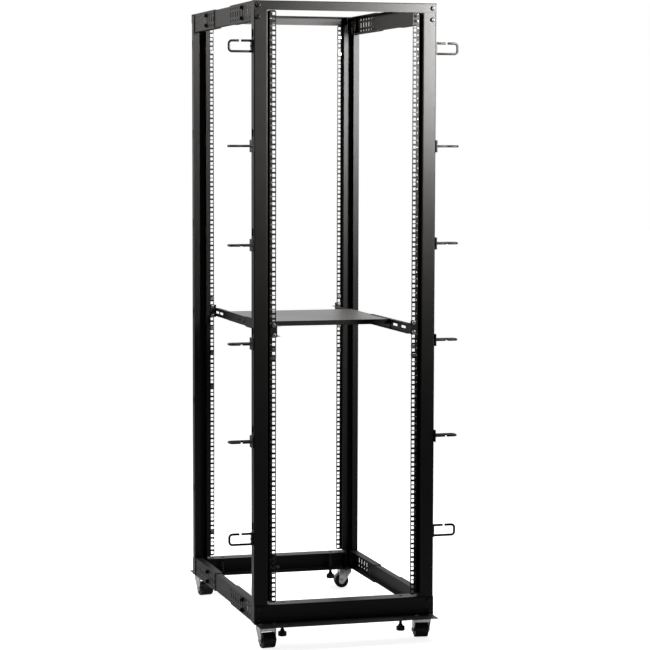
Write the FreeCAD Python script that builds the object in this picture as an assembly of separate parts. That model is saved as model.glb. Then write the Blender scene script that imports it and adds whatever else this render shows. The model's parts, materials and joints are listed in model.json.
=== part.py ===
import FreeCAD, Part
import math
import os

# Four post open frame equipment rack on casters, in millimetres.
# Origin on the floor at the middle of the plan: X across the front, Y towards the rear, Z up.
# A corner of the rack is drawn once, at the front left, with u measured inwards from the outer side face
# of the post and v measured inwards from the face of the post, and is mirrored to the other corners.

V = FreeCAD.Vector
os.makedirs("parts", exist_ok=True)

# Overall sizes
rack_width = 600.0
rack_depth = 880.0
units = 42
unit_pitch = 44.45
caster_height = 73.0
base_height = 62.0
top_beam_height = 30.0
units_above_base = 9.0
units_below_beam = 4.1
seat_gap = 0.3
bend = 2.0
cut_past = 1.0
round_sides = 16

# Posts: one folded sheet with a boxed front, a groove and the strip that carries the square holes
post_sheet = 2.0
post_face = 45.0
post_side = 33.0
post_lip = 20.0
groove_width = 9.0
strip_setback = 12.0
strip_width = 21.0
strip_above_base = 5.0
strip_corner = 6.0
square_hole = 9.5
hole_to_strip_edge = 7.55
hole_first = 6.35
hole_second = 15.875
slot_in_post = (5.0, 21.0)
slot_above_ring = 40.0

# Beams across the front and the rear
top_sheet = 2.0
top_flange = 30.0
base_sheet = 2.5
base_flange = 55.0
anchor_flange = 65.0
anchor_end_inset = 4.0
foot_plate = 50.0
anchor_hole_inset = 110.0
anchor_hole_setout = 40.0
anchor_slot_width = 11.0
anchor_slot_length = 18.0
access_hole = 14.0
foot_nut_flats = 17.0
foot_nut_height = 8.0

# Side rails: a sleeve bracket at each post and one channel that slides into both
rail_height = 62.0
rail_inset = 3.0
rail_sheet = 2.0
bracket_flange = 26.0
bracket_length = 295.0
channel_flange = 21.0
channel_front_start = 140.0
channel_rear_start = 200.0
slot_pitch = 31.0
slot_columns = 9
slot_end_margin = 11.0
tall_slot = (9.0, 17.0)
small_hole = (9.0, 6.0)
small_hole_from_middle = 19.0

# Shelf: tray between two telescoping arms
shelf_unit_count = 20
shelf_sheet = 1.5
shelf_front = 215.0
shelf_rear = 205.0
shelf_lip = 16.0
shelf_hem = 10.0
shelf_drop = 10.0
arm_height = 34.0
arm_flange = 12.0
arm_front_length = 408.0
arm_rear_length = 436.0
arm_side_gap = 2.0
ear_height = 43.6
arm_slot = (48.0, 8.0)
arm_front_slots = (85.0, 172.0)
arm_rear_slots = (43.0, 103.0)

# Cable rings on the sides of the front posts
ring_count = 6
ring_unit_count = 7
ring_below_top_hole = 101.7
ring_reach = 80.0
ring_width = 41.0
ring_wire = 6.4
ring_corner = 10.0
ring_gap = 7.0
ring_gap_at = 40.0
ring_plate = (20.0, 39.0, 5.0)

# Casters
caster_inset = 39.0
caster_plate = 60.0
caster_plate_thick = 3.0
race_radius = 19.0
race_height = 3.0
fork_sheet = 2.5
fork_top_width = 44.0
kingpin_radius = 5.0
kingpin_head_radius = 8.0
kingpin_head = 3.0
caster_trail = 13.0
wheel_diameter = 50.0
wheel_width = 44.0
wheel_edge = 3.0
wheel_side_gap = 2.0
hub_radius = 8.0
wheel_sides = 24
axle_radius = 4.0
axle_head_flats = 13.0
axle_head = 3.0
axle_boss = 11.0
caster_turn = {"front_left": 186.0, "front_right": 354.0, "rear_left": 191.0, "rear_right": 82.0}

# Levelling feet
foot_beside_caster = 62.0
foot_inboard = 30.0
foot_pad_radius = 14.0
foot_pad_height = 15.0
foot_cone_height = 9.0
foot_cone_radius = 8.5
foot_stem_radius = 5.0
foot_length = 90.0
foot_clearance = {"front_left": 26.0, "front_right": 21.0, "rear_left": 26.0, "rear_right": 40.0}

# Heights worked out from the sizes above
base_bottom = caster_height
base_top = base_bottom + base_height
units_bottom = base_top + units_above_base
units_top = units_bottom + units * unit_pitch
beam_bottom = units_top + units_below_beam
rack_top = beam_bottom + top_beam_height
strip_bottom = base_top + strip_above_base
strip_u = post_face + groove_width
strip_end_u = strip_u + strip_width
hole_u = strip_end_u - hole_to_strip_edge
caster_across = rack_width - 2 * caster_inset
foot_across = caster_across - 2 * foot_beside_caster
anchor_hole_spacing = rack_width - 2 * anchor_hole_inset
shelf_side = arm_height - 2 * (shelf_sheet + seat_gap)


def bent_sheet(points, thick, place, rounded=()):
    """One folded sheet: an open run of outer faces, with its metal on the left.

    The bends whose numbers are in rounded have the inside radius called bend, the rest are drawn sharp.
    """
    def side(offset):
        lines = []
        for a, b in zip(points, points[1:]):
            length = math.hypot(b[0] - a[0], b[1] - a[1])
            d = ((b[0] - a[0]) / length, (b[1] - a[1]) / length)
            n = (-d[1] * offset, d[0] * offset)
            lines.append(((a[0] + n[0], a[1] + n[1]), (b[0] + n[0], b[1] + n[1]), d))
        corners = [lines[0][0]]
        for (a, b, d), (e, f, g) in zip(lines, lines[1:]):
            cross = d[0] * g[1] - d[1] * g[0]
            s = ((e[0] - a[0]) * g[1] - (e[1] - a[1]) * g[0]) / cross
            corners.append((a[0] + d[0] * s, a[1] + d[1] * s, d, g, cross))
        corners.append(lines[-1][1])
        return corners

    def run(corners, inner_when_left):
        pieces = []
        last = corners[0][:2]
        for number, (x, y, d, g, cross) in enumerate(corners[1:-1]):
            if number not in rounded:
                pieces.append(Part.makeLine(place(*last), place(x, y)))
                last = (x, y)
                continue
            turn = math.acos(max(-1.0, min(1.0, d[0] * g[0] + d[1] * g[1])))
            r = bend if (cross > 0) == inner_when_left else bend + thick
            t = r * math.tan(turn / 2)
            start = (x - d[0] * t, y - d[1] * t)
            end = (x + g[0] * t, y + g[1] * t)
            way = math.copysign(1.0, cross)
            centre = (start[0] - d[1] * r * way, start[1] + d[0] * r * way)
            to_corner = math.hypot(x - centre[0], y - centre[1])
            mid = (centre[0] + (x - centre[0]) * r / to_corner, centre[1] + (y - centre[1]) * r / to_corner)
            pieces.append(Part.makeLine(place(*last), place(*start)))
            pieces.append(Part.Arc(place(*start), place(*mid), place(*end)).toShape())
            last = end
        pieces.append(Part.makeLine(place(*last), place(*corners[-1][:2])))
        return pieces

    outer = side(0.0)
    inner = side(thick)
    edges = run(outer, False) + run(inner, True)
    edges.append(Part.makeLine(place(*outer[0][:2]), place(*inner[0][:2])))
    edges.append(Part.makeLine(place(*outer[-1][:2]), place(*inner[-1][:2])))
    return Part.Face(Part.Wire(Part.__sortEdges__(edges)))


def box(x0, x1, y0, y1, z0, z1):
    return Part.makeBox(x1 - x0, y1 - y0, z1 - z0, V(x0, y0, z0))


def at_x(u):
    return u - rack_width / 2


def at_y(v):
    return v - rack_depth / 2


def corner_box(u0, u1, v0, v1, z0, z1):
    return box(at_x(u0), at_x(u1), at_y(v0), at_y(v1), z0, z1)


def to_corner(shape, corner):
    """Mirror a front left shape to a named corner."""
    moved = shape
    if corner.endswith("right"):
        moved = moved.mirror(V(0, 0, 0), V(1, 0, 0))
    if corner.startswith("rear"):
        moved = moved.mirror(V(0, 0, 0), V(0, 1, 0))
    return moved


def save(name, shape):
    solids = shape.Solids
    kept = solids[0] if len(solids) == 1 else Part.makeCompound(solids)
    kept.exportStep("parts/%s.step" % name)


def hole_heights():
    for unit in range(units):
        for n in range(3):
            yield units_bottom + unit * unit_pitch + hole_first + n * hole_second


def ring_heights():
    top_hole = units_top - hole_first
    for n in range(ring_count):
        yield top_hole - ring_below_top_hole - n * ring_unit_count * unit_pitch


def make_post():
    foot = base_bottom + base_sheet
    head = rack_top - top_sheet - bend
    outline = [
        (post_lip, post_side), (0, post_side), (0, 0), (post_face, 0), (post_face, post_side),
        (strip_u, post_side), (strip_u, strip_setback), (strip_end_u, strip_setback),
    ]
    face = bent_sheet(outline, post_sheet, lambda u, v: V(at_x(u), at_y(v), foot), rounded=(1, 2))
    post = face.extrude(V(0, 0, head - foot))
    beyond = post_side + 2 * post_sheet
    cuts = [
        corner_box(post_face, strip_end_u + cut_past, -cut_past, beyond, foot - cut_past, strip_bottom),
        corner_box(post_face, strip_end_u + cut_past, -cut_past, beyond, beam_bottom, head + cut_past),
    ]
    half = square_hole / 2
    v0 = strip_setback - cut_past
    v1 = strip_setback + post_sheet + cut_past
    for z in hole_heights():
        cuts.append(corner_box(hole_u - half, hole_u + half, v0, v1, z - half, z + half))
    wide, tall = slot_in_post
    middle = post_side / 2
    for z in ring_heights():
        low = z + slot_above_ring - tall / 2
        cuts.append(corner_box(-cut_past, post_sheet + cut_past, middle - wide / 2, middle + wide / 2,
                               low, low + tall))
    post = post.cut(Part.makeCompound(cuts))
    ends = [e for e in post.Edges if strip_corner_edge(e)]
    return post.makeFillet(strip_corner, ends)


def strip_corner_edge(edge):
    """The short edges through the sheet at the free corners of the hole strip."""
    middle = edge.CenterOfMass
    if abs(edge.Length - post_sheet) > 0.01 or abs(middle.x - at_x(strip_end_u)) > 0.01:
        return False
    return min(abs(middle.z - strip_bottom), abs(middle.z - beam_bottom)) < 0.01


def make_top_beam():
    outline = [(top_flange, rack_top), (-top_sheet, rack_top), (-top_sheet, beam_bottom)]
    face = bent_sheet(outline, top_sheet, lambda v, z: V(at_x(0), at_y(v), z), rounded=(0,))
    return face.extrude(V(rack_width, 0, 0))


def make_base_beam():
    top_of_plate = base_bottom + base_sheet
    outline = [
        (base_flange, base_top), (-base_sheet, base_top),
        (-base_sheet, top_of_plate), (-anchor_flange, top_of_plate),
    ]
    face = bent_sheet(outline, base_sheet, lambda v, z: V(at_x(0), at_y(v), z), rounded=(0, 1))
    beam = face.extrude(V(rack_width, 0, 0))
    plate = corner_box(0, rack_width, -base_sheet - bend - base_sheet, foot_plate, base_bottom, top_of_plate)
    beam = beam.fuse(plate)
    foot_v = at_y(foot_inboard)
    nut = prism(foot_nut_flats / math.sqrt(3), 6, foot_nut_height, V(-foot_across / 2, foot_v, top_of_plate))
    beam = beam.fuse([nut, nut.mirror(V(0, 0, 0), V(1, 0, 0))]).removeSplitter()
    low, high = base_bottom - cut_past, top_of_plate + cut_past
    flange_low, flange_high = base_top - base_sheet - bend - cut_past, base_top + cut_past
    # the flange stops beside the boxed part of each post, the anchor plate a little inside the ends
    cuts = [
        corner_box(-cut_past, post_face, 0, base_flange + cut_past, flange_low, flange_high),
        corner_box(-cut_past, anchor_end_inset, -anchor_flange - cut_past, -base_sheet, low, high),
        corner_box(-cut_past, anchor_end_inset, 0, foot_plate + cut_past, low, high),
        prism(foot_stem_radius + seat_gap, round_sides, 2 * foot_nut_height, V(-foot_across / 2, foot_v, low)),
        prism(access_hole / 2, round_sides, flange_high - flange_low, V(-foot_across / 2, foot_v, flange_low)),
        upright_slot(-anchor_hole_spacing / 2, at_y(-anchor_hole_setout), low, high - low),
    ]
    cuts += [cut.mirror(V(0, 0, 0), V(1, 0, 0)) for cut in cuts]
    return beam.cut(Part.makeCompound(cuts))


def around(radius, sides, z=0.0):
    """The corners of a many-sided ring about the Z axis, closed."""
    turns = [2 * math.pi * (n + 0.5) / sides for n in range(sides + 1)]
    return [V(radius * math.cos(t), radius * math.sin(t), z) for t in turns]


def rod(radius, height, base=V(0, 0, 0)):
    """Upright round pin."""
    return Part.makeCylinder(radius, height, base)


def prism(radius, sides, height, base=V(0, 0, 0)):
    """Upright many-sided bar or hole."""
    bar = Part.Face(Part.makePolygon(around(radius, sides))).extrude(V(0, 0, height))
    return bar.translated(base)


def turned(profile, sides):
    """Many-sided turning about the Z axis from a closed run of (radius, height)."""
    faces = []
    for (r0, z0), (r1, z1) in zip(profile, profile[1:] + profile[:1]):
        low, high = around(r0, sides, z0), around(r1, sides, z1)
        for n in range(sides):
            ring = [low[n], low[n + 1], high[n + 1], high[n]]
            corners = [c for k, c in enumerate(ring) if (c - ring[k - 1]).Length > 0.001]
            if len(corners) > 2:
                faces.append(Part.Face(Part.makePolygon(corners + corners[:1])))
    return Part.Solid(Part.Shell(faces)).removeSplitter()


def upright_slot(x, y, z, height):
    """A round-ended anchor slot through the plate, long in X."""
    run = (anchor_slot_length - anchor_slot_width) / 2
    r = anchor_slot_width / 2
    edges = [
        Part.makeLine(V(x - run, y - r, z), V(x + run, y - r, z)),
        Part.Arc(V(x + run, y - r, z), V(x + run + r, y, z), V(x + run, y + r, z)).toShape(),
        Part.makeLine(V(x + run, y + r, z), V(x - run, y + r, z)),
        Part.Arc(V(x - run, y + r, z), V(x - run - r, y, z), V(x - run, y - r, z)).toShape(),
    ]
    return Part.Face(Part.Wire(edges)).extrude(V(0, 0, height))


def channel_face(inset, flange, sheet, low, high, v):
    outline = [(inset + flange, high), (inset, high), (inset, low), (inset + flange, low)]
    return bent_sheet(outline, sheet, lambda u, z: V(at_x(u), at_y(v), z))


def make_bracket(low):
    """Sleeve from the post: a channel, open towards the rack, with three rows of holes and an end plate."""
    high = low + rail_height
    face = channel_face(rail_inset, bracket_flange, rail_sheet, low, high, post_side)
    bracket = face.extrude(V(0, bracket_length, 0))
    end = corner_box(rail_inset + rail_sheet / 2, rail_inset + bracket_flange, post_side,
                     post_side + rail_sheet, low + rail_sheet / 2, high - rail_sheet / 2)
    bracket = bracket.fuse(end).removeSplitter()
    middle = (low + high) / 2
    rows = [(tall_slot, 0), (small_hole, small_hole_from_middle), (small_hole, -small_hole_from_middle)]
    cuts = []
    for n in range(slot_columns):
        v = post_side + bracket_length - slot_end_margin - n * slot_pitch
        for (wide, tall), up in rows:
            z = middle + up
            cuts.append(corner_box(rail_inset - cut_past, rail_inset + rail_sheet + cut_past,
                                   v - wide / 2, v + wide / 2, z - tall / 2, z + tall / 2))
    return bracket.cut(Part.makeCompound(cuts))


def make_channel(low):
    inside = rail_sheet + seat_gap
    face = channel_face(rail_inset + inside, channel_flange, rail_sheet, low + inside,
                        low + rail_height - inside, channel_front_start)
    return face.extrude(V(0, rack_depth - channel_front_start - channel_rear_start, 0))


def shelf_levels():
    top_of_unit = units_bottom + shelf_unit_count * unit_pitch
    plate_top = top_of_unit - shelf_drop
    return top_of_unit, plate_top


def tray_side_x():
    """Outer face of the tray's sides: inside the front arms, which pass between the hole strips."""
    return at_x(strip_end_u) + arm_side_gap + shelf_sheet + seat_gap


def make_tray():
    plate_top = shelf_levels()[1]
    x0 = tray_side_x()
    y0, y1 = at_y(shelf_front), -at_y(shelf_rear)
    outline = [
        (y1, plate_top - shelf_hem), (y1, plate_top), (y0, plate_top),
        (y0, plate_top - shelf_lip), (y0 + shelf_hem, plate_top - shelf_lip),
    ]
    face = bent_sheet(outline, shelf_sheet, lambda y, z: V(x0, y, z))
    tray = face.extrude(V(-2 * x0, 0, 0))
    setback = 2 * shelf_sheet
    sides = []
    for x in (x0, -x0 - shelf_sheet):
        sides.append(box(x, x + shelf_sheet, y0 + setback, y1 - setback, plate_top - shelf_side, plate_top))
    notch = shelf_sheet + 2 * seat_gap + arm_flange
    passages = []
    for x in (x0, -x0 - notch):
        passages.append(box(x, x + notch, y1 - shelf_sheet, y1 + cut_past,
                            plate_top - shelf_hem - cut_past, plate_top - shelf_sheet))
    return tray.cut(Part.makeCompound(passages)).fuse(sides).removeSplitter()


def make_arm(front):
    """Telescoping arm at the left, with an ear on the hole strip. The rear one runs inside the tray."""
    top_of_unit, plate_top = shelf_levels()
    if front:
        outer = at_x(strip_end_u) + arm_side_gap
        high = plate_top + shelf_sheet + seat_gap
        low = high - arm_height
        v0 = strip_setback - seat_gap - shelf_sheet
        length = arm_front_length
        slot_places = arm_front_slots
    else:
        outer = tray_side_x() + shelf_sheet + seat_gap
        high = plate_top - shelf_sheet - seat_gap
        low = high - arm_height + 3 * (shelf_sheet + seat_gap)
        v0 = strip_setback + post_sheet + seat_gap
        length = arm_rear_length
        slot_places = arm_rear_slots
    outline = [(outer + arm_flange, high), (outer, high), (outer, low), (outer + arm_flange, low)]
    face = bent_sheet(outline, shelf_sheet, lambda x, z: V(x, at_y(v0), z))
    arm = face.extrude(V(0, length, 0))
    ear_low = top_of_unit - (unit_pitch + ear_height) / 2
    ear_x = at_x(strip_u + post_sheet + seat_gap)
    ear = box(ear_x, outer + shelf_sheet, at_y(v0), at_y(v0) + shelf_sheet, ear_low, ear_low + ear_height)
    arm = arm.fuse(ear).removeSplitter()
    slots = [arm_slot_cut(outer - cut_past, at_y(v), (low + high) / 2) for v in slot_places]
    return arm.cut(Part.makeCompound(slots))


def arm_slot_cut(x, y, z):
    """Lengthways slot through an arm, its ends cut off at the corners."""
    long, tall = arm_slot
    half, corner = tall / 2, tall / 3
    quarter_points = [(long / 2, half - corner), (long / 2 - corner, half)]
    upper = quarter_points + [(-a, b) for a, b in reversed(quarter_points)]
    points = upper + [(-a, -b) for a, b in upper]
    corners = [V(x, y + a, z + b) for a, b in points + points[:1]]
    return Part.Face(Part.makePolygon(corners)).extrude(V(shelf_sheet + 2 * cut_past, 0, 0))


def make_ring(upright):
    """Open wire loop on its base plate, drawn at the origin and reaching towards -X."""
    plate_across, plate_tall, plate_thick = ring_plate
    r = ring_wire / 2
    half = ring_width / 2 - r
    start = -plate_thick
    far = -(ring_reach - r)
    near, away = -ring_gap_at + ring_gap / 2, -ring_gap_at - ring_gap / 2
    # the long run goes out, across the end with its corners cut off, and back as far as the gap
    path = [
        V(start, -half, 0), V(far + ring_corner, -half, 0), V(far, -half + ring_corner, 0),
        V(far, half - ring_corner, 0), V(far + ring_corner, half, 0), V(away, half, 0),
    ]
    wires = [six_sided_wire(path), six_sided_wire([V(start, half, 0), V(near, half, 0)])]
    loop = wires[0].fuse(wires[1])
    if upright:
        loop.rotate(V(0, 0, 0), V(1, 0, 0), 90)
    else:
        loop.rotate(V(0, 0, 0), V(1, 0, 0), 180)
    plate_y = max(plate_across, 0 if upright else ring_width) / 2
    plate_z = max(plate_tall, ring_width if upright else 0) / 2
    plate = box(-plate_thick, 0, -plate_y, plate_y, -plate_z, plate_z)
    return plate.fuse(loop)


def six_sided_wire(path):
    section = [path[0] + V(0, c.x, c.y) for c in around(ring_wire / 2, 6)]
    return Part.Wire(Part.makePolygon(path).Edges).makePipeShell([Part.makePolygon(section)], True, False, 1)


def make_rings():
    rings = []
    for n, z in enumerate(ring_heights()):
        upright = n in (0, ring_count - 1)
        ring = make_ring(upright)
        ring.translate(V(at_x(0) - seat_gap, at_y(post_side / 2), z))
        rings.append(ring)
    return Part.makeCompound(rings)


def caster_place(shape, corner):
    """Turn a caster piece drawn at the origin about its kingpin and set it at its corner."""
    x = caster_across / 2 if corner.endswith("right") else -caster_across / 2
    y = rack_depth / 2 if corner.startswith("rear") else -rack_depth / 2
    shape = shape.copy()
    shape.rotate(V(0, 0, 0), V(0, 0, 1), caster_turn[corner])
    shape.translate(V(x, y, 0))
    return shape


def make_caster_plate():
    half = caster_plate / 2
    top = caster_height
    under = top - caster_plate_thick
    race_bottom = under - race_height
    plate = box(-half, half, -half, half, under, top)
    pin_bottom = race_bottom - 2 * seat_gap - fork_sheet - kingpin_head
    pin = rod(kingpin_radius, under - pin_bottom, V(0, 0, pin_bottom))
    head = prism(kingpin_head_radius, round_sides, kingpin_head, V(0, 0, pin_bottom))
    race = prism(race_radius, round_sides, race_height, V(0, 0, race_bottom))
    return plate.fuse([race, pin, head]).removeSplitter()


def make_caster_fork():
    """Inverted U of sheet with tapered legs, swivelling under the race; its axle trails towards +Y."""
    top = caster_height - caster_plate_thick - race_height - seat_gap
    inner = wheel_width / 2 + wheel_side_gap
    outer = inner + fork_sheet
    centre = wheel_diameter / 2
    outline = [(outer, 0), (outer, top), (-outer, top), (-outer, 0)]
    face = bent_sheet(outline, fork_sheet, lambda x, z: V(x, -fork_top_width / 2, z))
    fork = face.extrude(V(0, fork_top_width + caster_trail, 0))
    beside = -outer - cut_past
    edge = axle_boss / 2
    leg = [
        V(beside, -fork_top_width / 2, top), V(beside, fork_top_width / 2, top),
        V(beside, caster_trail + axle_boss, centre), V(beside, caster_trail + edge, centre - axle_boss),
        V(beside, caster_trail - edge, centre - axle_boss), V(beside, caster_trail - axle_boss, centre),
    ]
    fork = fork.common(Part.Face(Part.makePolygon(leg + leg[:1])).extrude(V(-2 * beside, 0, 0)))
    pin_hole = prism(kingpin_radius + seat_gap, round_sides, fork_sheet + 2 * cut_past,
                     V(0, 0, top - fork_sheet - cut_past))
    axle = rod(axle_radius, 2 * outer, V(0, 0, -outer))
    nut = prism(axle_head_flats / math.sqrt(3), 6, 2 * (outer + axle_head), V(0, 0, -outer - axle_head))
    nut = nut.cut(prism(axle_head_flats, 6, 2 * outer, V(0, 0, -outer)))
    axle = axle.fuse(nut)
    axle.rotate(V(0, 0, 0), V(0, 1, 0), 90)
    axle.translate(V(0, caster_trail, centre))
    return fork.cut(pin_hole).fuse(axle)


def make_caster_wheel():
    half = wheel_width / 2
    r = wheel_diameter / 2
    tread = r / math.cos(math.pi / wheel_sides)
    hub_half = half + wheel_side_gap - seat_gap
    one_side = [
        (0, hub_half), (hub_radius, hub_half), (hub_radius, half),
        (tread - wheel_edge, half), (tread, half - wheel_edge),
    ]
    wheel = turned(one_side + [(across, -along) for across, along in reversed(one_side)], wheel_sides)
    wheel = wheel.cut(prism(axle_radius + seat_gap, round_sides, 2 * hub_half, V(0, 0, -hub_half)))
    wheel.rotate(V(0, 0, 0), V(0, 1, 0), 90)
    wheel.translate(V(0, caster_trail, r))
    return wheel


def make_foot(clearance):
    """Round pad with a cone and a threaded stem, screwed up to its own height above the floor."""
    cone_top = foot_pad_height + foot_cone_height
    profile = [
        (0, 0), (foot_pad_radius, 0), (foot_pad_radius, foot_pad_height), (foot_cone_radius, foot_pad_height),
        (foot_stem_radius, cone_top), (foot_stem_radius, foot_length), (0, foot_length),
    ]
    return turned(profile, round_sides).translated(V(-foot_across / 2, at_y(foot_inboard), clearance))


corners = ("front_left", "front_right", "rear_left", "rear_right")

post = make_post()
rails = {"top": rack_top - rail_height, "base": base_bottom + base_sheet}
brackets = {level: make_bracket(low) for level, low in rails.items()}
channels = {level: make_channel(low) for level, low in rails.items()}
arms = {"front": make_arm(True), "rear": make_arm(False)}
caster_pieces = {"plate": make_caster_plate(), "fork": make_caster_fork(), "wheel": make_caster_wheel()}

for corner in corners:
    end, hand = corner.split("_")
    save("post_" + corner, to_corner(post, corner))
    for level in rails:
        save("%s_rail_bracket_%s" % (level, corner), to_corner(brackets[level], corner))
    save("shelf_arm_" + corner, to_corner(arms[end], corner))
    for piece, shape in caster_pieces.items():
        if piece == "plate":
            shape = to_corner(shape.translated(V(-caster_across / 2, -rack_depth / 2, 0)), corner)
        else:
            shape = caster_place(shape, corner)
        save("caster_%s_%s" % (piece, corner), shape)
    save("levelling_foot_" + corner, to_corner(make_foot(foot_clearance[corner]), corner))

for level in rails:
    for hand in ("left", "right"):
        save("%s_rail_channel_%s" % (level, hand), to_corner(channels[level], "front_" + hand))

beams = {"top_beam": make_top_beam(), "base_beam": make_base_beam()}
for name, shape in beams.items():
    save(name + "_front", shape)
    save(name + "_rear", to_corner(shape, "rear_left"))

save("shelf_tray", make_tray())
rings = make_rings()
save("cable_rings_left", rings)
save("cable_rings_right", to_corner(rings, "front_right"))
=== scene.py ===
import json
import math

import bpy
from mathutils import Matrix, Vector


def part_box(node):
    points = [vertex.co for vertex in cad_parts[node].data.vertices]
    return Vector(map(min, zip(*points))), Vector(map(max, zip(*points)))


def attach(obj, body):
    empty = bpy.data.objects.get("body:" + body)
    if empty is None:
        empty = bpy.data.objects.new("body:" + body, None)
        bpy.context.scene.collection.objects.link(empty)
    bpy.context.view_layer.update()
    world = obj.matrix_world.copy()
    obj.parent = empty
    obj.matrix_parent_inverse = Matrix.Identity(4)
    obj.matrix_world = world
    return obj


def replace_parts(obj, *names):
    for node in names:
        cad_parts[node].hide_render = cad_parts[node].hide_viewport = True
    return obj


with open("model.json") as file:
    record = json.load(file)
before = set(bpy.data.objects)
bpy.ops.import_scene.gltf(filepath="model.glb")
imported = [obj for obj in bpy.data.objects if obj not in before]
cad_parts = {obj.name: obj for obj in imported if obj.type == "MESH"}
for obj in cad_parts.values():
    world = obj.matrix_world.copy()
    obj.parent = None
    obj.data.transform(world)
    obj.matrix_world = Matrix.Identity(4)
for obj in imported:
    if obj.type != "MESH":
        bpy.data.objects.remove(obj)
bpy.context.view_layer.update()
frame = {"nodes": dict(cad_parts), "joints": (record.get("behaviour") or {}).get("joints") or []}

# Looks of a four post open frame rack on casters. Metres, in the frame of the solids: X across the front,
# Y towards the rear, Z up from the floor. A place near a corner is given for the front left one, with u
# measured inwards from the outer side of the post and v inwards from its face, and is mirrored to the rest.

node = frame["nodes"]

# Levels and faces read from the solids
post_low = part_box("post_front_left")[0]
beam_low, beam_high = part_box("base_beam_front")
top_low, top_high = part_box("top_beam_front")
tray_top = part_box("shelf_tray")[1].z
arm_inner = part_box("shelf_arm_front_left")[1].x
half_width = -post_low.x
half_depth = -post_low.y
base_top = beam_high.z
rack_top = top_high.z

# Rack standard and the places of the fittings
unit = 0.04445
units = 42
units_above_base = 0.009
hole_steps = (0.00635, 0.022225, 0.0381)
hole_column = 0.4651 / 2
column_u = half_width - hole_column
strip_v = 0.012
strip_u = 0.054
sheet_gap = 0.0003
ink_gap = 0.00006
ear_unit = 20
sleeve_bolt_front = 0.160
sleeve_bolt_rear = 0.223
ring_v = 0.0165
ring_drop = 0.1017
rings_a_post = 6
units_between_rings = 7
units_bottom = base_top + units_above_base

# Studio: how bright the surround is towards the rear and towards the front, the share of it that lights dull
# finishes, and how bright the floor shows
REAR_WHITE = 1.0
FRONT_WHITE = 0.10
DULL_SHARE = 0.30
FLOOR_WHITE = 0.87

# Camera: its place in metres, its angles in degrees and its lens in millimetres
CAMERA_PLACE = (-2.0575, -7.3596, 1.6094)
CAMERA_TURN = 16.0445
CAMERA_TILT = 4.6363
CAMERA_ROLL = 0.13
CAMERA_LENS = 126.02

MIRRORS = {
    "front_left": Matrix.Diagonal((1, 1, 1, 1)),
    "front_right": Matrix.Diagonal((-1, 1, 1, 1)),
    "rear_left": Matrix.Diagonal((1, -1, 1, 1)),
    "rear_right": Matrix.Diagonal((-1, -1, 1, 1)),
}
EVERYWHERE = tuple(MIRRORS.values())
BOTH_SIDES = (MIRRORS["front_left"], MIRRORS["front_right"])
OUT, FRONT, INWARD, REARWARD, UP, DOWN = (
    Vector(d) for d in ((-1, 0, 0), (0, -1, 0), (1, 0, 0), (0, 1, 0), (0, 0, 1), (0, 0, -1))
)


def spot(u, v, z):
    """A point near the front left corner."""
    return Vector((u - half_width, v - half_depth, z))


def hole_height(unit_number, hole):
    """Middle of one of the three holes of a unit, both counted from 1 at the bottom."""
    return units_bottom + (unit_number - 1) * unit + hole_steps[hole - 1]


# ---------------------------------------------------------------- finishes


class Value:
    """A shader socket that can be used in plain arithmetic."""

    def __init__(self, paint, socket):
        self.paint, self.socket = paint, socket

    def _math(self, operation, *values):
        return self.paint.node("ShaderNodeMath", {"operation": operation}, dict(enumerate(values)))

    def __add__(self, other):
        return self._math("ADD", self, other)

    def __sub__(self, other):
        return self._math("SUBTRACT", self, other)

    def __rsub__(self, other):
        return self._math("SUBTRACT", other, self)

    def __mul__(self, other):
        return self._math("MULTIPLY", self, other)

    def __truediv__(self, other):
        return self._math("DIVIDE", self, other)

    __radd__, __rmul__ = __add__, __mul__

    def between(self, low, high):
        """Runs from 0 at low to 1 at high, and no further."""
        return self.paint.node("ShaderNodeMapRange", {"clamp": True}, {"Value": self, 1: low, 2: high})

    def fraction(self):
        return self._math("FRACT", self)

    def size(self):
        return self._math("ABSOLUTE", self)


class Paint:
    """One material, or the world, built node by node."""

    def __init__(self, name, world=None):
        self.material = world or bpy.data.materials.new(name)
        self.material.use_nodes = True
        self.nodes = self.material.node_tree.nodes
        self.links = self.material.node_tree.links
        self.surface = self.nodes["Background" if world else "Principled BSDF"]
        self.place = self.node("ShaderNodeTexCoord", output="Object")

    def node(self, kind, settings=None, inputs=None, output=0):
        made = self.nodes.new(kind)
        for key, setting in (settings or {}).items():
            setattr(made, key, setting)
        for key, value in (inputs or {}).items():
            self.feed(made.inputs[key], value)
        return Value(self, made.outputs[output])

    def feed(self, socket, value):
        if isinstance(value, Value):
            self.links.new(value.socket, socket)
        elif hasattr(socket.default_value, "__len__") and not hasattr(value, "__len__"):
            socket.default_value = (value,) * len(socket.default_value)
        else:
            socket.default_value = value

    def noise(self, scale, detail=3.0, roughness=0.5, place=None):
        inputs = {"Vector": place or self.place, "Scale": scale, "Detail": detail, "Roughness": roughness}
        return self.node("ShaderNodeTexNoise", {}, inputs)

    def stretched(self, x, y, z):
        """The place on the piece, scaled along each axis."""
        return self.node("ShaderNodeMapping", {}, {"Vector": self.place, "Scale": (x, y, z)})

    def axis(self, letter):
        return self.node("ShaderNodeSeparateXYZ", {}, {"Vector": self.place}, output=letter)

    def blend(self, amount, low, high):
        """From colour low to colour high."""
        inputs = {"Factor": amount, 6: low, 7: high}
        return self.node("ShaderNodeMix", {"data_type": "RGBA"}, inputs, output=2)

    def bump(self, height, distance, strength=1.0, under=None):
        inputs = {"Height": height, "Distance": distance, "Strength": strength}
        if under:
            inputs["Normal"] = under
        return self.node("ShaderNodeBump", {}, inputs, output="Normal")

    def finish(self, **sockets):
        for key, value in sockets.items():
            self.feed(self.surface.inputs[key.replace("_", " ")], value)
        return self.material


def tone(level, warmth=0.0):
    return (level * (1 + warmth), level, level * (1 - warmth), 1.0)


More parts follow.
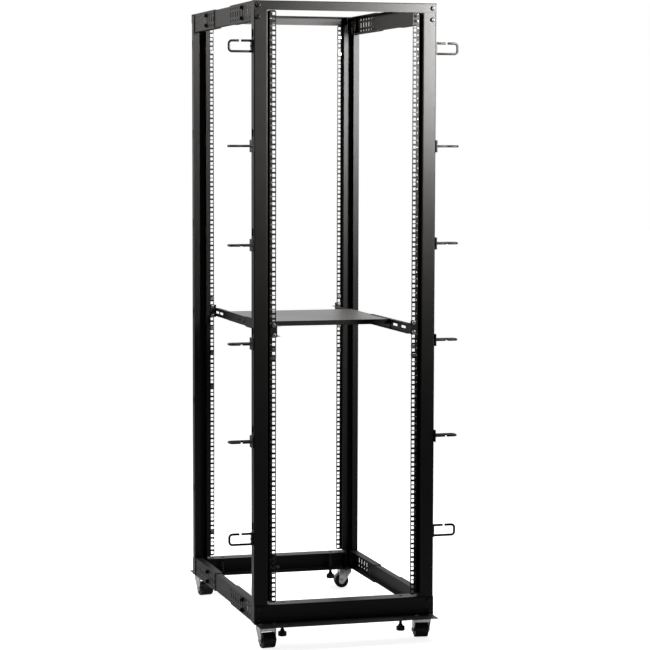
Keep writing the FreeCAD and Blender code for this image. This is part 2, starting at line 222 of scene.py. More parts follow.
def powder_coat(name, level, warmth, roughness, specular):
    """Fine texture powder coat: a tight grain over a slow orange peel."""
    paint = Paint(name)
    grain = paint.noise(1400.0, 2.0)
    peel = paint.noise(260.0, 2.0)
    mottle = paint.noise(9.0, 4.0, 0.6)
    colour = paint.blend(mottle.between(0.3, 0.7), tone(level * 0.85, warmth), tone(level * 1.15, warmth))
    rough = roughness + (grain - 0.5) * 0.10 + (mottle - 0.5) * 0.08
    normal = paint.bump(grain, 0.00008, 0.6, paint.bump(peel, 0.0002, 0.25))
    paint.surface.inputs["Specular IOR Level"].default_value = specular
    return paint.finish(Base_Color=colour, Roughness=rough, Normal=normal)


def bright_zinc():
    """Zinc plate with its faint spangle and drawing lines."""
    paint = Paint("bright_zinc")
    cloud = paint.noise(90.0, 3.0, 0.6)
    lines = paint.noise(700.0, 2.0, 0.5, paint.stretched(1.0, 1.0, 0.08))
    colour = paint.blend(cloud.between(0.35, 0.65), (0.42, 0.43, 0.45, 1), (0.58, 0.57, 0.55, 1))
    rough = 0.30 + (cloud - 0.5) * 0.25 + (lines - 0.5) * 0.10
    normal = paint.bump(lines, 0.00004, 0.5)
    return paint.finish(Base_Color=colour, Metallic=1.0, Roughness=rough, Normal=normal)


def steel_fastener(name, level, roughness):
    """Plated screws and nuts, dulled in patches."""
    paint = Paint(name)
    cloud = paint.noise(400.0, 3.0)
    colour = paint.blend(cloud, tone(level * 0.8), tone(level * 1.2))
    return paint.finish(Base_Color=colour, Metallic=1.0, Roughness=roughness + (cloud - 0.5) * 0.2)


def moulded(name, level, roughness, scuff):
    """Moulded plastic with a faint grain, and dust that greys it in patches."""
    paint = Paint(name)
    patches = paint.noise(60.0, 5.0, 0.7).between(0.52, 0.75) * scuff
    grain = paint.noise(900.0, 2.0)
    colour = paint.blend(patches, tone(level), tone(level * 4 + 0.02, 0.05))
    normal = paint.bump(grain, 0.00006, 0.4)
    paint.surface.inputs["Specular IOR Level"].default_value = 0.25
    return paint.finish(Base_Color=colour, Roughness=roughness + patches * 0.3, Normal=normal)


def white_ink(name, thin_level, full_level):
    paint = Paint(name)
    cover = paint.noise(1500.0, 2.0).between(0.2, 0.5)
    return paint.finish(Base_Color=paint.blend(cover, tone(thin_level), tone(full_level)), Roughness=0.55)


def cut_thread(name):
    """Blackened stem with a fine thread round it, its colour darker in the thread's grooves as painted shade.
    """
    paint = Paint(name)
    pitch = 0.0015
    turns = (paint.axis("Z") / pitch).fraction()
    ridge = (turns - 0.5).size() * 2
    # darker in the grooves, lighter on the crests: painted shade
    colour = paint.blend(ridge, tone(0.006), tone(0.02))
    normal = paint.bump(ridge, 0.0005, 0.8)
    return paint.finish(Base_Color=colour, Metallic=0.5, Roughness=0.45, Normal=normal)


FRAME_BLACK = powder_coat("frame_black_coat", level=0.0048, warmth=0.05, roughness=0.40, specular=0.15)
SIDE_BLACK = powder_coat("rail_black_coat", level=0.0085, warmth=0.06, roughness=0.50, specular=0.15)
# Painted sheen: a lighter, glossier coat for the shelf tray's top faces only
SHELF_TOP_SHEEN = powder_coat("shelf_top_painted_sheen", level=0.012, warmth=0.06, roughness=0.40, specular=0.80)
# Painted light: a lighter coat for the up-facing tops of the base beams' bottom flanges
FLANGE_TOP_LIGHT = powder_coat("flange_top_painted_light", level=0.022, warmth=0.06, roughness=0.45, specular=0.30)
# Painted shade: a darker, duller coat for the set-back hole strips' outer faces
STRIP_SHADE_BLACK = powder_coat("strip_painted_shade_coat", level=0.0042, warmth=0.05, roughness=0.42, specular=0.08)
ZINC = bright_zinc()
FASTENER = steel_fastener("plated_fastener", level=0.55, roughness=0.32)
BLACK_SCREW = steel_fastener("blackened_screw", level=0.020, roughness=0.34)
DULL_SCREW = steel_fastener("dull_black_bolt", level=0.006, roughness=0.60)
CAGE = steel_fastener("cage_nut_steel", level=0.16, roughness=0.42)
WHEEL_BLACK = moulded("wheel_plastic", level=0.006, roughness=0.40, scuff=0.35)
FOOT_BLACK = moulded("foot_plastic", level=0.005, roughness=0.55, scuff=0.2)
INK = white_ink("white_ink", thin_level=0.34, full_level=0.62)
FAINT_INK = white_ink("faint_ink", thin_level=0.03, full_level=0.06)
# Painted shade: a near-black, unreflective coat for the channel faces hidden inside the sleeves
SLEEVE_SHADE_BLACK = powder_coat("sleeve_painted_shade_coat", level=0.0015, warmth=0.0, roughness=0.85, specular=0.02)
THREAD = cut_thread("threaded_stem")


def painted(obj, material):
    obj.data.materials.clear()
    obj.data.materials.append(material)
    return obj


def dress_frame():
    for name, obj in node.items():
        if "rail" in name:
            painted(obj, SIDE_BLACK)
        elif name == "shelf_tray":
            painted(obj, FRAME_BLACK)
            # the tray's top faces get a lighter coat: painted sheen on the top
            coat_top(obj, SHELF_TOP_SHEEN)
        elif name.startswith(("caster_plate", "caster_fork")):
            painted(obj, ZINC)
        elif name.startswith("caster_wheel"):
            painted(obj, WHEEL_BLACK)
        elif name.startswith("levelling"):
            painted(obj, FOOT_BLACK)
        else:
            painted(obj, FRAME_BLACK)
        if name.startswith("base_beam"):
            # the flange's up-facing faces get a lighter coat: painted light from above
            coat_top(obj, FLANGE_TOP_LIGHT, highest=beam_low.z + 0.006)


def coat_top(obj, material, highest=math.inf):
    """A second, lighter coat on the faces that look up, below the height given: painted light on the tops."""
    obj.data.materials.append(material)
    for face in obj.data.polygons:
        face.material_index = int(face.normal.z > 0.5 and face.center.z < highest)


# ---------------------------------------------------------------- modelling tools


def deselect():
    bpy.ops.object.select_all(action="DESELECT")


def active(obj):
    deselect()
    obj.select_set(True)
    bpy.context.view_layer.objects.active = obj


def apply_place(obj, name):
    obj.name = name
    bpy.ops.object.transform_apply(location=True, rotation=True, scale=True)
    return obj


def block(name, low, high):
    deselect()
    low, high = Vector(low), Vector(high)
    bpy.ops.mesh.primitive_cube_add(size=1, location=(low + high) / 2)
    bpy.context.object.scale = high - low
    return apply_place(bpy.context.object, name)


def bar(name, radius, low, high, sides):
    """Upright round or many-sided bar about the Z axis."""
    deselect()
    middle = (0, 0, (low + high) / 2)
    bpy.ops.mesh.primitive_cylinder_add(vertices=sides, radius=radius, depth=high - low, location=middle)
    return apply_place(bpy.context.object, name)


def turned(name, profile, sides=48):
    """A turning about the Z axis, from a run of (radius, height) that starts and ends on flat caps."""
    deselect()
    radius, height = profile[0]
    start = (0, 0, height)
    bpy.ops.mesh.primitive_circle_add(vertices=sides, radius=radius, fill_type="NGON", location=start)
    made = apply_place(bpy.context.object, name)
    bpy.ops.object.mode_set(mode="EDIT")
    bpy.ops.mesh.select_mode(type="FACE")
    bpy.ops.mesh.select_all(action="SELECT")
    for across, along in profile[1:]:
        bpy.ops.mesh.extrude_region_move(TRANSFORM_OT_translate={"value": (0, 0, along - height)})
        bpy.ops.transform.resize(value=(across / radius, across / radius, 1), center_override=(0, 0, along))
        radius, height = across, along
    bpy.ops.mesh.select_all(action="SELECT")
    bpy.ops.mesh.normals_make_consistent(inside=False)
    leave_edit()
    return made


def hull(name, objects):
    """The tight skin round several pieces."""
    skin = join(name, objects)
    active(skin)
    bpy.ops.object.mode_set(mode="EDIT")
    bpy.ops.mesh.select_all(action="SELECT")
    bpy.ops.mesh.convex_hull()
    leave_edit()
    return skin


def merged_copy(name):
    """A copy of a solid's mesh with its faces joined along their edges."""
    twin = copy_to(node[name], Matrix.Identity(4), name + "_detail")
    twin.parent = None
    active(twin)
    bpy.ops.object.mode_set(mode="EDIT")
    bpy.ops.mesh.select_all(action="SELECT")
    bpy.ops.mesh.remove_doubles(threshold=0.000001)
    leave_edit()
    return twin


def soften(obj, width, segments=2):
    active(obj)
    bevel = obj.modifiers.new("soft_edge", "BEVEL")
    bevel.width = width
    bevel.segments = segments
    bevel.limit_method = "ANGLE"
    bevel.angle_limit = math.radians(40)
    bpy.ops.object.modifier_apply(modifier=bevel.name)
    return obj


def smooth(obj, degrees=35):
    active(obj)
    bpy.ops.object.shade_smooth_by_angle(angle=math.radians(degrees))
    return obj


def pick_faces(obj, wanted):
    """Goes into edit mode with only the wanted faces selected."""
    active(obj)
    bpy.ops.object.mode_set(mode="EDIT")
    bpy.ops.mesh.select_mode(type="FACE")
    bpy.ops.mesh.select_all(action="DESELECT")
    bpy.ops.object.mode_set(mode="OBJECT")
    for face in obj.data.polygons:
        face.select = wanted(face)
    bpy.ops.object.mode_set(mode="EDIT")


def leave_edit():
    bpy.ops.object.mode_set(mode="OBJECT")


def sink_top(obj, rim, depth):
    """Insets the faces that look up and pushes them down into a recess."""
    pick_faces(obj, lambda face: face.normal.z > 0.99)
    bpy.ops.mesh.inset(thickness=rim)
    bpy.ops.mesh.extrude_region_move(TRANSFORM_OT_translate={"value": (0, 0, -depth)})
    leave_edit()
    return obj


def copy_to(obj, matrix, name):
    """A copy with its own mesh, moved by matrix and kept right side out."""
    twin = obj.copy()
    twin.data = obj.data.copy()
    twin.name = name
    bpy.context.collection.objects.link(twin)
    twin.data.transform(matrix)
    if matrix.determinant() < 0:
        twin.data.flip_normals()
    return twin


def join(name, objects):
    deselect()
    for obj in objects:
        obj.select_set(True)
    bpy.context.view_layer.objects.active = objects[0]
    bpy.ops.object.join()
    joined = bpy.context.object
    joined.name = name
    return joined


def drop(*objects):
    for obj in objects:
        bpy.data.objects.remove(obj)


def facing(direction):
    """Turns something drawn along +Z to look along direction."""
    return Vector((0, 0, 1)).rotation_difference(direction).to_matrix().to_4x4()


def at(point, direction=UP):
    return Matrix.Translation(point) @ facing(direction)


def wear(obj, body="frame"):
    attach(obj, body)
    return obj


# ---------------------------------------------------------------- fasteners


def make_socket_screw(name, radius, height, material):
    """Low round head with a socket."""
    head = bar(name, radius, 0, height, 20)
    soften(head, height * 0.45, 3)
    sink_top(head, radius * 0.35, height * 0.6)
    return painted(smooth(head), material)


def make_hex(name, flats, height, washer, material):
    """Hexagon head or nut on its washer."""
    head = bar(name, flats / math.sqrt(3), washer * 0.15, height, 6)
    soften(head, height * 0.12)
    ring = bar(name + "_washer", flats * 0.72, 0, washer * 0.2, 24)
    soften(ring, washer * 0.05, 1)
    return painted(smooth(join(name, [ring, head])), material)


def make_round_bolt(name, radius, height, material):
    """Domed head with a round recess."""
    dome = [
        (radius, 0), (radius, height * 0.35), (radius * 0.94, height * 0.7), (radius * 0.80, height * 0.93),
        (radius * 0.62, height), (radius * 0.40, height), (radius * 0.34, height * 0.55),
    ]
    return painted(smooth(turned(name, dome, 24), 50), material)


def make_flanged_bolt(name, radius, height, material):
    """Hexagon head on its own wide flange."""
    slope = [(radius, 0), (radius, height * 0.2), (radius * 0.8, height * 0.36), (radius * 0.3, height * 0.4)]
    flange = turned(name, slope, 28)
    head = bar(name + "_head", radius * 0.78, height * 0.25, height, 6)
    soften(head, height * 0.1)
    return painted(smooth(join(name, [flange, head])), material)


def make_cage_nut():
    """Spring cage seen from the front: a folded square with its lips in the hole and the nut behind."""
    lip, nut_wide, nut_tall = 0.0046, 0.0064, 0.0056
    face = block("cage", (-lip, -lip, -0.0030), (lip, lip, 0.0002))
    soften(face, 0.0006)
    sink_top(face, 0.0022, 0.002)
    body = block("cage_body", (-nut_wide, -nut_tall, -0.0085), (nut_wide, nut_tall, -0.0024))
    soften(body, 0.0008)
    return painted(join("cage_nut", [face, body]), CAGE)


def spread_out(part, places, mirrors):
    """Copies of a part at each (point, direction) and mirror; the drawn one is dropped."""
    copies = []
    for point, direction in places:
        for mirror in mirrors:
            copies.append(copy_to(part, mirror @ at(point, direction), "fastener"))
    drop(part)
    return copies


def beam_bolts():
    """Pan heads at the ends of the top and base beams, seated on the beam where it covers the post."""
    places = []
    for down in (0.016, 0.052):
        z = rack_top - down
        proud = 0.002 if z > top_low.z else 0.0
        places.append((spot(0.013, -proud, z), FRONT))
    for down in (0.013, 0.048):
        places.append((spot(0.017, -0.0025, base_top - down), FRONT))
    head = make_round_bolt("black_pan_head", radius=0.0076, height=0.0050, material=BLACK_SCREW)
    return spread_out(head, places, EVERYWHERE)


def sleeve_bolts():
    """Two bolts one over the other through each side bracket, with nuts inside the channel."""
    from_centre = 0.017
    nut_depth = 0.0043
    heads, nuts = [], []
    for level in ("top", "base"):
        low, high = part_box("%s_rail_bracket_front_left" % level)
        for y in (sleeve_bolt_front - half_depth, half_depth - sleeve_bolt_rear):
            for up in (-from_centre, from_centre):
                point = Vector((low.x, y, (low.z + high.z) / 2 + up))
                heads.append((point, OUT))
                nuts.append((point + INWARD * nut_depth, INWARD))
    bolt = make_flanged_bolt("bracket_bolt", radius=0.0085, height=0.0095, material=DULL_SCREW)
    nut = make_hex("bracket_nut", flats=0.010, height=0.0050, washer=0.008, material=CAGE)
    return spread_out(bolt, heads, BOTH_SIDES) + spread_out(nut, nuts, BOTH_SIDES)


def caster_bolts():
    """Four bolts down through the base beam and each caster plate, with thin nuts below."""
    swivel_u = half_width - abs(joint_at("swivel_front_left").x)
    above_plate, below_plate = beam_low.z + 0.0025, beam_low.z - 0.003
    half_across, half_along = 0.021, 0.020
    heads, nuts = [], []
    for across in (-half_across, half_across):
        for v in (-half_along, half_along):
            heads.append((spot(swivel_u + across, v, above_plate), UP))
            nuts.append((spot(swivel_u + across, v, below_plate), DOWN))
    bolt = make_hex("caster_bolt", flats=0.010, height=0.0045, washer=0.008, material=CAGE)
    thin_nut = make_hex("thin_nut", flats=0.010, height=0.0028, washer=0.004, material=FASTENER)
    return spread_out(bolt, heads, EVERYWHERE) + spread_out(thin_nut, nuts, EVERYWHERE)


def ear_screws():
    """The shelf arms' ears are screwed through the first and third holes of their unit."""
    made = []
    for end, v, direction in (("front", strip_v - 0.0018, FRONT), ("rear", strip_v + 0.0038, REARWARD)):
        mirrors = [matrix for corner, matrix in MIRRORS.items() if corner.startswith(end)]
        places = [(spot(column_u, v, hole_height(ear_unit, hole)), direction) for hole in (1, 3)]
        screw = make_round_bolt("ear_screw", radius=0.0072, height=0.0046, material=CAGE)
        made += spread_out(screw, places, mirrors)
    return made


def tray_screws():
    """Two screws a side join the tray to the front arms."""
    places = []
    for v in (0.443, 0.506):
        point = Vector((arm_inner - 0.012 + sheet_gap, v - half_depth, tray_top - 0.016))
        places.append((point, OUT))
    screw = make_socket_screw("small_black_screw", radius=0.0038, height=0.0022, material=BLACK_SCREW)
    return spread_out(screw, places, BOTH_SIDES)


def earthing_screw():
    """The earthing screw's nut on the rear beam's web, facing forward."""
    place = Vector((0.0103, half_depth, 0.0831))
    nut = make_hex("earthing_nut", flats=0.010, height=0.0050, washer=0.008, material=CAGE)
    nut.data.transform(at(place, FRONT))
    return nut


def fit_fasteners():
    """Screws, bolts and nuts, copied to their places at all corners."""
    made = beam_bolts() + sleeve_bolts() + caster_bolts() + ear_screws() + tray_screws() + [earthing_screw()]
    return wear(join("frame_fasteners", made))


def fit_cage_nuts():
    """Cage nuts left in some of the square holes, as (unit, hole)."""
    nut = make_cage_nut()
    fitted = {
        "front": ((19, 1), (18, 2)),
        "rear": ((42, 1), (40, 3), (21, 2), (19, 1), (17, 1)),
        "rear_left": ((14, 2), (2, 3)),
    }
    made = []
    for corner, mirror in MIRRORS.items():
        for unit_number, hole in fitted[corner.split("_")[0]] + fitted.get(corner, ()):
            point = spot(column_u, strip_v, hole_height(unit_number, hole))
            made.append(copy_to(nut, mirror @ at(point, FRONT), "cage_nut_copy"))
    drop(nut)
    return wear(join("cage_nuts", made))


# ---------------------------------------------------------------- printing


def print_unit_numbers():
    """Unit numbers beside the middle holes and a tick at each unit's edge, on each strip's outer face."""
    number_size = 0.0048
    tick_size = (0.0058, 0.0005, 1)
    middle_u = strip_u + 0.0042
    column = []
    for number in range(1, units + 1):
        deselect()
        bpy.ops.object.text_add()
        text = bpy.context.object
        text.data.body = str(number)
        text.data.size = number_size
        text.data.align_x = "CENTER"
        text.data.align_y = "CENTER"
        text.data.resolution_u = 2
        bpy.ops.object.convert(target="MESH")
        text.data.transform(Matrix.Translation((0, hole_height(number, 2), 0)))
        column.append(text)
    for number in range(units + 1):
        z = units_bottom + number * unit
        deselect()
        bpy.ops.mesh.primitive_plane_add(size=1, location=(0, z, 0))
        bpy.context.object.scale = tick_size
        column.append(apply_place(bpy.context.object, "tick"))
    sheet = painted(join("number_column", column), INK)
    upright = Matrix.Rotation(math.radians(90), 4, "X")
    made = []
    for corner, mirror in MIRRORS.items():
        centre = mirror @ spot(middle_u, strip_v - ink_gap, 0)
        turn = Matrix.Rotation(math.radians(180 if corner.startswith("rear") else 0), 4, "Z")
        made.append(copy_to(sheet, Matrix.Translation(centre) @ turn @ upright, "numbers"))
    drop(sheet)
    return wear(join("unit_numbers", made))


# ---------------------------------------------------------------- cable rings


def make_ring():
    """Round wire bent to an open loop, reaching along -X from the wall at x = 0, its gap at the +Y side."""
    wire, half, reach, corner = 0.0038, 0.0167, 0.0762, 0.010
    gap_near, gap_far = 0.0365, 0.0435
    root = 0.004
    deselect()
    bpy.ops.mesh.primitive_circle_add(vertices=16, radius=wire, fill_type="NGON", location=(-root, -half, 0),
                                      rotation=(0, math.radians(-90), 0))
    loop = apply_place(bpy.context.object, "ring_wire")
    bpy.ops.object.mode_set(mode="EDIT")
    bpy.ops.mesh.select_mode(type="FACE")
    bpy.ops.mesh.select_all(action="SELECT")

    def run(x, y):
        bpy.ops.mesh.extrude_region_move(TRANSFORM_OT_translate={"value": (x, y, 0)})

    def turn(centre):
        bpy.ops.mesh.spin(steps=6, angle=math.radians(90), center=centre, axis=(0, 0, 1))

    run(-(reach - corner - root), 0)
    turn((-(reach - corner), -half + corner, 0))
    run(0, 2 * (half - corner))
    turn((-(reach - corner), half - corner, 0))
    run(reach - corner - gap_far, 0)
    bpy.ops.mesh.select_all(action="SELECT")
    bpy.ops.mesh.remove_doubles(threshold=0.00001)
    bpy.ops.mesh.normals_make_consistent(inside=False)
    leave_edit()
    stub = bar("ring_stub", wire, root, gap_near, 16)
    stub.data.transform(Matrix.Translation((0, half, 0)) @ facing(OUT))
    return soften(join("ring_wire", [loop, stub]), 0.0006)


def ring_heights():
    """Heights of a post's rings, from the top one down."""
    top = hole_height(units, 3) - ring_drop
    return [top - number * units_between_rings * unit for number in range(rings_a_post)]


def cut_away(obj, tool):
    """Cuts a closed tool out of a closed piece and drops the tool."""
    active(obj)
    bpy.ops.object.modifier_add(type="BOOLEAN")
    cutter = obj.modifiers[-1]
    cutter.object = tool
    cutter.solver = "EXACT"
    bpy.ops.object.modifier_apply(modifier=cutter.name)
    drop(tool)


def dull_strip(post):
    """A darker, less glossy coat on the outer face of the set-back hole strip: painted shade from the post's
    face edge beside it.
    """
    post.data.materials.append(STRIP_SHADE_BLACK)
    for face in post.data.polygons:
        outward = face.normal.y * face.center.y > 0
        on_strip = abs(abs(face.center.y) - (half_depth - strip_v)) < 0.0003
        if outward and on_strip and abs(face.normal.y) > 0.9:
            face.material_index = len(post.data.materials) - 1


def ring_openings(corner, z):
    """The keyhole's body above a ring place and, on the rear posts, the three holes for the ring's plate."""
    half = 0.0100
    low, high = z + 0.0275, z + 0.0530
    opening = block("opening", spot(-0.02, ring_v - half, low), spot(0.02, ring_v + half, high))
    pieces = [soften(opening, 0.006, 4)]
    if corner.startswith("rear"):
        for up in (-0.0105, 0.0, 0.0105):
            hole = bar("ring_hole", 0.0024, -0.01, 0.01, 12)
            hole.data.transform(at(spot(0, ring_v, z + up), OUT))
            pieces.append(hole)
    return pieces


def keyhole_neck(z):
    """The keyhole's narrow lower end."""
    half = 0.0035
    return block("neck", spot(-0.01, ring_v - half, z + 0.0200), spot(0.01, ring_v + half, z + 0.0290))


def pierce_posts():
    """Keyholes through each post's side above every ring place, and the plates' holes on the rear posts."""
    for corner, mirror in MIRRORS.items():
        post = merged_copy("post_" + corner)
        openings = [piece for z in ring_heights() for piece in ring_openings(corner, z)]
        necks = [keyhole_neck(z) for z in ring_heights()]
        for pieces in (openings, necks):
            tool = join("keyhole_tool", pieces)
            turned_tool = copy_to(tool, mirror, "keyhole_tool_placed")
            drop(tool)
            cut_away(post, turned_tool)
        dull_strip(post)
        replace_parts(wear(post), "post_" + corner)


def fit_rings():
    """Rings down the side of each front post: the end ones stand upright, the others lie flat."""
    ring = painted(smooth(make_ring(), 50), FRAME_BLACK)
    screw = make_socket_screw("ring_screw", radius=0.0042, height=0.0024, material=BLACK_SCREW)
    plate_thick = 0.005
    wall = half_width + sheet_gap
    y = -half_depth + ring_v
    left = []
    for number, z in enumerate(ring_heights()):
        upright = number in (0, rings_a_post - 1)
        wide, tall = (0.020, 0.041) if upright else (0.041, 0.039)
        low = (-wall - plate_thick, y - wide / 2, z - tall / 2)
        high = (-wall, y + wide / 2, z + tall / 2)
        plate = block("ring_plate", low, high)
        left.append(painted(soften(plate, 0.0012), FRAME_BLACK))
        turn = Matrix.Rotation(math.radians(90 if upright else 180), 4, "X")
        left.append(copy_to(ring, Matrix.Translation((-wall, y, z)) @ turn, "ring_copy"))
        left.append(copy_to(screw, at(Vector((-wall - plate_thick, y, z)), OUT), "ring_screw_copy"))
    drop(ring, screw)
    left = join("cable_rings_wire_left", left)
    right = copy_to(left, MIRRORS["front_right"], "cable_rings_wire_right")
    for side, rings in (("left", left), ("right", right)):
        wear(rings)
        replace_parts(rings, "cable_rings_" + side)


# ---------------------------------------------------------------- casters and levelling feet


def joint_at(name):
    return Vector(next(joint for joint in frame["joints"] if joint["name"] == name)["pos_m"])


def make_caster_wheel(width, diameter, hub_half):
    """Hard wheel with a rounded tread and a dished face round its hub."""
    half, r = width / 2, diameter / 2
    side = [
        (0.0045, hub_half), (0.0075, hub_half), (0.0080, hub_half - 0.0005), (0.0080, half - 0.0030),
        (r - 0.0075, half - 0.0022), (r - 0.0062, half - 0.0004), (r - 0.0052, half), (r - 0.0030, half),
        (r - 0.0012, half - 0.0008), (r - 0.0003, half - 0.0022), (r, half - 0.0045),
    ]
    profile = [(across, -along) for across, along in side] + side[::-1]
    wheel = turned("wheel_turning", profile, 64)
    bore_end = bar("wheel_bush", 0.0058, -hub_half, hub_half, 24)
    painted(bore_end, FASTENER)
    return join("caster_wheel", [painted(smooth(wheel, 40), WHEEL_BLACK), bore_end])


def make_caster_fork(inner, sheet, top, trail, axle_z):
    """Pressed fork: a crown with down-turned rims under the race, and two legs that narrow to the axle."""
    outer = inner + sheet
    crown_half = 0.0215
    crown = block("crown", (-outer, -crown_half, top - sheet), (outer, crown_half, top))
    pieces = [soften(crown, 0.0011)]
    rim_low = axle_z + 0.0290
    for side in (-1, 1):
        near, far = side * crown_half, side * (crown_half - sheet)
        rim = block("rim", (-outer, min(near, far), rim_low), (outer, max(near, far), top - 0.0012))
        pieces.append(soften(rim, 0.0009))
    cup = [(0.0120, top - 0.0042), (0.0165, top - 0.0036), (0.0185, top - 0.0020), (0.0185, top - 0.0004)]
    pieces.append(turned("lower_race", cup, 40))
    for side in (-1, 1):
        x = side * (inner + sheet / 2)
        disc = bar("boss", 0.0108, -sheet / 2, sheet / 2, 32)
        disc.data.transform(Matrix.Translation((x, trail, axle_z)) @ facing(OUT))
        low = (x - sheet / 2, -crown_half, top - 0.006)
        high = (x + sheet / 2, crown_half, top - 0.0008)
        pieces.append(soften(hull("leg", [disc, block("root", low, high)]), 0.0005))
        axle_end = at(Vector((side * outer, trail, axle_z)), INWARD * side)
        ring = bar("pressed_ring", 0.0068, 0, 0.0010, 28)
        soften(ring, 0.0005)
        head = make_hex("axle_nut", flats=0.0125, height=0.0029, washer=0.003, material=FASTENER)
        for piece in (ring, head):
            piece.data.transform(axle_end)
            pieces.append(piece)
    for piece in pieces:
        if not piece.data.materials:
            painted(smooth(piece, 35), ZINC)
    return join("caster_fork", pieces)


def make_caster_plate(size, thick, top, race_radius, race_height):
    """Plate with softened edges, the upper race and the riveted kingpin."""
    half = size / 2
    plate = block("plate", (-half, -half, top - thick), (half, half, top))
    under = top - thick
    race_low = under - race_height
    race = [
        (race_radius - 0.006, race_low), (race_radius - 0.002, race_low),
        (race_radius - 0.0004, race_low + 0.0008),
        (race_radius, under - 0.0008), (race_radius, under + 0.0005),
    ]
    rivet_low = race_low - 0.0061
    rivet = [
        (0.0040, rivet_low), (0.0066, rivet_low + 0.0004), (0.0079, rivet_low + 0.0016),
        (0.0079, rivet_low + 0.0028), (0.0049, rivet_low + 0.0029), (0.0049, under),
    ]
    pieces = [soften(plate, 0.0008), turned("race", race, 40), turned("rivet", rivet, 28)]
    return join("caster_plate", [painted(smooth(piece, 35), ZINC) for piece in pieces])


def fit_casters():
    """One caster a corner: plate on the frame, fork on the swivel and wheel on the axle."""
    plate_low, plate_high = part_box("caster_plate_front_left")
    top = plate_high.z
    plate_thick, fork_sheet = 0.003, 0.0025
    fork_inner = 0.024
    race_height = 0.003
    running_gap = 0.0003
    crown_top = top - plate_thick - race_height - running_gap
    size = plate_high.x - plate_low.x
    plate = make_caster_plate(size, plate_thick, top, race_radius=0.019, race_height=race_height)
    wheel = make_caster_wheel(width=0.044, diameter=0.050, hub_half=0.0237)
    for corner in MIRRORS:
        pivot, axle = joint_at("swivel_" + corner), joint_at("wheel_spin_" + corner)
        mast = Matrix.Translation((pivot.x, pivot.y, 0))
        trail = Vector((axle.x - pivot.x, axle.y - pivot.y, 0))
        turn = mast @ Matrix.Rotation(math.atan2(-trail.x, trail.y), 4, "Z")
        fork = make_caster_fork(fork_inner, fork_sheet, crown_top, trail.length, axle.z)
        fork.data.transform(turn)
        fork.name = "fork_detail_" + corner
        wear(fork, "fork_" + corner)
        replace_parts(fork, "caster_fork_" + corner)
        rolling = turn @ Matrix.Translation((0, trail.length, axle.z)) @ facing(INWARD)
        tyre = wear(copy_to(wheel, rolling, "wheel_detail_" + corner), "wheel_" + corner)
        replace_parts(tyre, "caster_wheel_" + corner)
        mounting = wear(copy_to(plate, mast, "plate_detail_" + corner), "frame")
        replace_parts(mounting, "caster_plate_" + corner)
    drop(plate, wheel)


def fit_feet():
    """Moulded pads with a stepped neck on threaded stems."""
    pad_outline = [
        (0.0118, 0), (0.0132, 0.0006), (0.0139, 0.0022), (0.0139, 0.0128), (0.0133, 0.0143), (0.0120, 0.0149),
        (0.0084, 0.0152), (0.0082, 0.0166), (0.0072, 0.0185), (0.0070, 0.0196), (0.0056, 0.0222),
        (0.0050, 0.0239), (0.0042, 0.0239),
    ]
    pad = painted(smooth(turned("pad", pad_outline), 50), FOOT_BLACK)
    low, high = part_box("levelling_foot_front_left")
    length = high.z - low.z
    stem = turned("stem", [(0.0047, 0.020), (0.0047, length - 0.001), (0.0040, length)], 24)
    painted(smooth(stem, 50), THREAD)
    foot = join("foot", [pad, stem])
    for corner in MIRRORS:
        low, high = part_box("levelling_foot_" + corner)
        place = Matrix.Translation(((low.x + high.x) / 2, (low.y + high.y) / 2, low.z))
        shown = wear(copy_to(foot, place, "foot_detail_" + corner), "foot_" + corner)
        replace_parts(shown, "levelling_foot_" + corner)
    drop(foot)


# ---------------------------------------------------------------- side rails


def depth_marks(name, side):
    """Short printed strokes down the middle of a channel's outer face."""
    low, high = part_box(name)
    outer = low.x if side < 0 else high.x
    printed = outer + side * ink_gap
    middle = (low.z + high.z) / 2
    first, step, count = -0.080, 0.020, 9
    half_thick, half_tall = 0.0004, 0.004
    marks = []
    for number in range(count):
        y = first + number * step
        mark_low = (min(outer, printed), y - half_thick, middle - half_tall)
        mark_high = (max(outer, printed), y + half_thick, middle + half_tall)
        marks.append(block("mark", mark_low, mark_high))
    return painted(join("depth_marks", marks), FAINT_INK)


def fit_channels():
    """The channels: much darker and duller on their outer faces where they run inside the sleeves, as painted
    shade, with faint depth marks between them.
    """
    sleeve_end = -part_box("base_rail_bracket_front_left")[1].y
    for name in [n for n in node if "rail_channel" in n]:
        channel = merged_copy(name)
        side = -1 if name.endswith("left") else 1
        for y in (-sleeve_end, sleeve_end):
            pick_faces(channel, lambda face: True)
            bpy.ops.mesh.bisect(plane_co=(0, y, 0), plane_no=(0, 1, 0))
            leave_edit()
        painted(channel, SIDE_BLACK)
        # outward faces inside the sleeves take the near-black coat: painted shade
        channel.data.materials.append(SLEEVE_SHADE_BLACK)
        for face in channel.data.polygons:
            outward = side * face.normal.x > 0.5
            face.material_index = int(outward and abs(face.center.y) > sleeve_end)
        wear(join(name + "_marked", [channel, depth_marks(name, side)]))
        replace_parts(channel, name)


# ---------------------------------------------------------------- stage


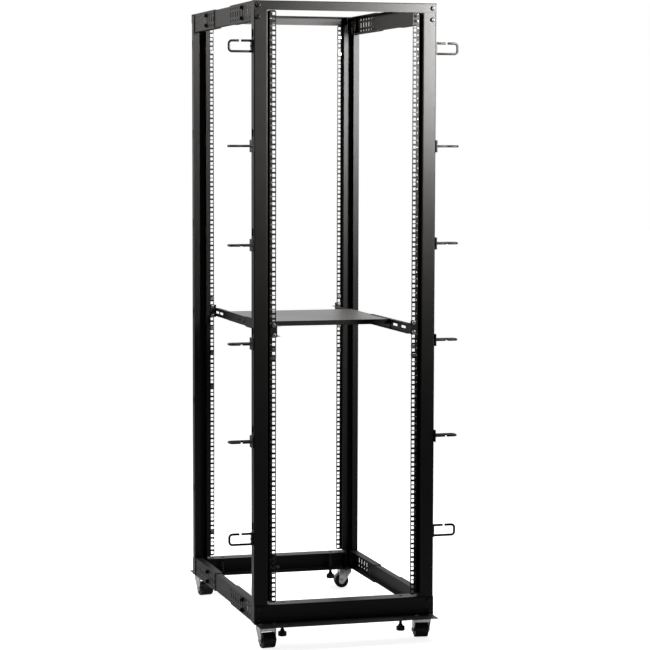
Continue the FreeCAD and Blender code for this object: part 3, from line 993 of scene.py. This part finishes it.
def set_stage():
    """Pale floor, and a white surround that also shows in glossy finishes."""
    deselect()
    bpy.ops.mesh.primitive_plane_add(size=60, location=(0, 0, 0))
    floor = bpy.context.object
    floor.name = "floor"
    paint = Paint("pale_floor")
    seen, mirrored = rays(paint)
    shown = (seen + mirrored * FRONT_WHITE) * FLOOR_WHITE
    paint.finish(Base_Color=(0.82, 0.82, 0.82, 1), Roughness=0.9, Emission_Color=shown)
    paint.surface.inputs["Emission Strength"].default_value = 1.0
    painted(floor, paint.material)

    world = bpy.data.worlds.new("studio")
    bpy.context.scene.world = world
    sky = Paint("studio", world)
    seen, mirrored = rays(sky)
    around = sky.axis("Y").between(-0.2, 0.6) * (REAR_WHITE - FRONT_WHITE) + FRONT_WHITE
    lit = around * (mirrored * (1 - DULL_SHARE) + DULL_SHARE)
    strength = sky.node("ShaderNodeMath", {"operation": "MAXIMUM"}, {0: seen, 1: lit})
    sky.feed(sky.surface.inputs["Color"], (1, 1, 1, 1))
    sky.feed(sky.surface.inputs["Strength"], strength)


def rays(paint):
    """1 for what is seen straight or through something, and 1 for what is seen by way of a glossy finish."""
    def ray(kind):
        return paint.node("ShaderNodeLightPath", output="Is %s Ray" % kind)
    seen = paint.node("ShaderNodeMath", {"operation": "MAXIMUM"}, {0: ray("Camera"), 1: ray("Transmission")})
    return seen, ray("Glossy")


def lamp(name, place, aim, size, power, colour, spread):
    deselect()
    bpy.ops.object.light_add(type="AREA", location=place)
    light = bpy.context.object
    light.name = name
    light.data.shape = "RECTANGLE"
    light.data.size, light.data.size_y = size
    light.data.energy = power
    light.data.color = colour
    light.data.spread = math.radians(spread)
    light.rotation_euler = (Vector(aim) - Vector(place)).to_track_quat("-Z", "Y").to_euler()
    return light


def set_lamps():
    """A narrow lamp by the top of the right front post, a soft one from the left and a wide one overhead."""
    lamp("right_softbox", place=(0.95, -1.45, 2.15), aim=(0.28, -0.44, 1.95), size=(0.30, 0.90),
         power=48, colour=(1, 0.978, 0.967), spread=75)
    lamp("left_fill", place=(-3.0, 0.9, 3.2), aim=(-0.2, 0.0, 2.05), size=(1.2, 1.2),
         power=26, colour=(1, 0.965, 0.94), spread=60)
    lamp("overhead", place=(0.2, 0.9, 4.2), aim=(0, 0.2, 1.5), size=(2.4, 2.4),
         power=50, colour=(1, 0.985, 0.975), spread=120)


def set_camera():
    deselect()
    bpy.ops.object.camera_add(location=CAMERA_PLACE)
    camera = bpy.context.object
    turn = Matrix.Rotation(math.radians(-CAMERA_TURN), 4, "Z")
    tilt = Matrix.Rotation(math.radians(90 - CAMERA_TILT), 4, "X")
    roll = Matrix.Rotation(math.radians(CAMERA_ROLL), 4, "Z")
    camera.rotation_euler = (turn @ tilt @ roll).to_euler()
    camera.data.lens = CAMERA_LENS
    camera.data.sensor_width = 36.0
    bpy.context.scene.camera = camera


dress_frame()
fit_channels()
fit_fasteners()
fit_cage_nuts()
print_unit_numbers()
pierce_posts()
fit_rings()
fit_casters()
fit_feet()
set_stage()
set_lamps()
set_camera()
bpy.context.scene.view_settings.view_transform = "Standard"
